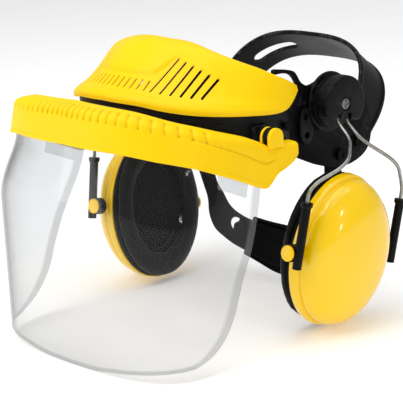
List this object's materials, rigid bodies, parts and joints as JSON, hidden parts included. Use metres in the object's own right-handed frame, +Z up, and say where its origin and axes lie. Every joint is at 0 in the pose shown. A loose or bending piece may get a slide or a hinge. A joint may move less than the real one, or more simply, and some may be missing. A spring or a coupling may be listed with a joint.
{
  "type": "forestry face and hearing guard",
  "caption": "Ventilated yellow brow guard on a black harness with flip-up clear visor in a yellow frame, wire-hung swivelling ear cups and adjustable rear straps.",
  "frame": {"origin": "centre of the bounding box footprint on the table, at the level of the ear cup bottoms and the visor lip", "axes": "the wearer faces -Y, +X is the wearer's left, +Z is up as the guard stands on its ear cups and visor lip"},
  "size_m": [0.2452, 0.2694, 0.2049],
  "materials": {
    "shell_yellow": "satin injection-moulded plastic",
    "frame_yellow": "satin injection-moulded plastic",
    "harness_black": "fine-grained matte black plastic",
    "nape_black": "soft flexible black plastic",
    "sweat_foam": "dark woven cover over foam",
    "visor_clear": "clear polished sheet",
    "clip_clear": "clear moulded plastic",
    "hub_black": "fine-grained matte black plastic",
    "screw_steel": "zinc-plated",
    "wire_steel": "drawn spring-steel wire",
    "sleeve_black": "matte black plastic",
    "pin_yellow": "glossy",
    "cup_amber": "glossy",
    "cup_back_black": "matte black plastic",
    "cushion_black": "soft foam-filled imitation-leather ring",
    "cup_foam_grey": "open-cell foam"
  },
  "bodies": {
    "headgear": {"brow_shell": "shell_yellow", "brow_band": "harness_black", "sweatband": "sweat_foam", "side_plate_left": "harness_black", "side_plate_right": "harness_black", "band_rivet_left": "harness_black", "band_rivet_right": "harness_black", "strap_rivet_left": "harness_black", "strap_rivet_right": "harness_black", "nape_rivet_left": "harness_black", "nape_rivet_right": "harness_black", "adapter_plate_left": "harness_black", "adapter_plate_right": "harness_black", "hub_base_left": "hub_black", "hub_base_right": "hub_black", "visor_boss_left": "harness_black", "visor_boss_right": "harness_black", "visor_pin_left": "harness_black", "visor_pin_right": "harness_black"},
    "visor": {"visor_frame": "frame_yellow", "visor_sheet": "visor_clear", "visor_clip_left": "clip_clear", "visor_clip_right": "clip_clear"},
    "crown_strap": {"rear_strap": "harness_black"},
    "nape": {"nape_strap_left": "nape_black", "nape_strap_right": "nape_black", "nape_button": "nape_black"},
    "hub_left": {"hub_neck_left": "hub_black", "hub_cap_left": "hub_black", "hub_screw_left": "screw_steel"},
    "bail_left": {"wire_bail_left": "wire_steel"},
    "slider_left": {"sleeve_front_left": "sleeve_black", "sleeve_rear_left": "sleeve_black"},
    "cup_left": {"cup_shell_left": "cup_amber", "cup_back_left": "cup_back_black", "cushion_left": "cushion_black", "cup_foam_left": "cup_foam_grey", "yoke_pin_front_left": "pin_yellow", "yoke_pin_rear_left": "pin_yellow"},
    "hub_right": {"hub_neck_right": "hub_black", "hub_cap_right": "hub_black", "hub_screw_right": "screw_steel"},
    "bail_right": {"wire_bail_right": "wire_steel"},
    "slider_right": {"sleeve_front_right": "sleeve_black", "sleeve_rear_right": "sleeve_black"},
    "cup_right": {"cup_shell_right": "cup_amber", "cup_back_right": "cup_back_black", "cushion_right": "cushion_black", "cup_foam_right": "cup_foam_grey", "yoke_pin_front_right": "pin_yellow", "yoke_pin_rear_right": "pin_yellow"}
  },
  "joints": [
    {"name": "visor_flip", "type": "hinge", "parent": "headgear", "child": "visor", "pos_m": [0, -0.02527, 0.1432], "axis": [-1, 0, 0], "range_deg": [0, 80]},
    {"name": "crown_strap_swing", "type": "hinge", "parent": "headgear", "child": "crown_strap", "pos_m": [0, 0.07712, 0.1185], "axis": [1, 0, 0], "range_deg": [-10, 15]},
    {"name": "nape_swing", "type": "hinge", "parent": "headgear", "child": "nape", "pos_m": [0, 0.05813, 0.112], "axis": [1, 0, 0], "range_deg": [-12, 15]},
    {"name": "hub_swivel_left", "type": "hinge", "parent": "headgear", "child": "hub_left", "pos_m": [0.08, 0.04593, 0.1522], "axis": [1, 0, 0], "range_deg": [-10, 60]},
    {"name": "arm_click_left", "type": "hinge", "parent": "hub_left", "child": "bail_left", "pos_m": [0.086, 0.04482, 0.14671], "axis": [0, -0.9803, 0.1977], "range_deg": [-4, 28], "stiffness_Nm_per_rad": 0.3},
    {"name": "cup_slide_left", "type": "slide", "parent": "bail_left", "child": "slider_left", "axis": [-0.075, -0.1971, -0.9775], "range_m": [-0.003, 0.022]},
    {"name": "cup_tilt_left", "type": "hinge", "parent": "slider_left", "child": "cup_left", "pos_m": [0.0972, 0.0265, 0.05584], "axis": [0, 0.9803, -0.1977], "range_deg": [-10, 10]},
    {"name": "hub_swivel_right", "type": "hinge", "parent": "headgear", "child": "hub_right", "pos_m": [-0.08, 0.04593, 0.1522], "axis": [1, 0, 0], "range_deg": [-10, 60]},
    {"name": "arm_click_right", "type": "hinge", "parent": "hub_right", "child": "bail_right", "pos_m": [-0.086, 0.04482, 0.14671], "axis": [0, 0.9803, -0.1977], "range_deg": [-4, 28], "stiffness_Nm_per_rad": 0.3},
    {"name": "cup_slide_right", "type": "slide", "parent": "bail_right", "child": "slider_right", "axis": [0.075, -0.1971, -0.9775], "range_m": [-0.003, 0.022]},
    {"name": "cup_tilt_right", "type": "hinge", "parent": "slider_right", "child": "cup_right", "pos_m": [-0.0972, 0.0265, 0.05584], "axis": [0, -0.9803, 0.1977], "range_deg": [-10, 10]}
  ]
}
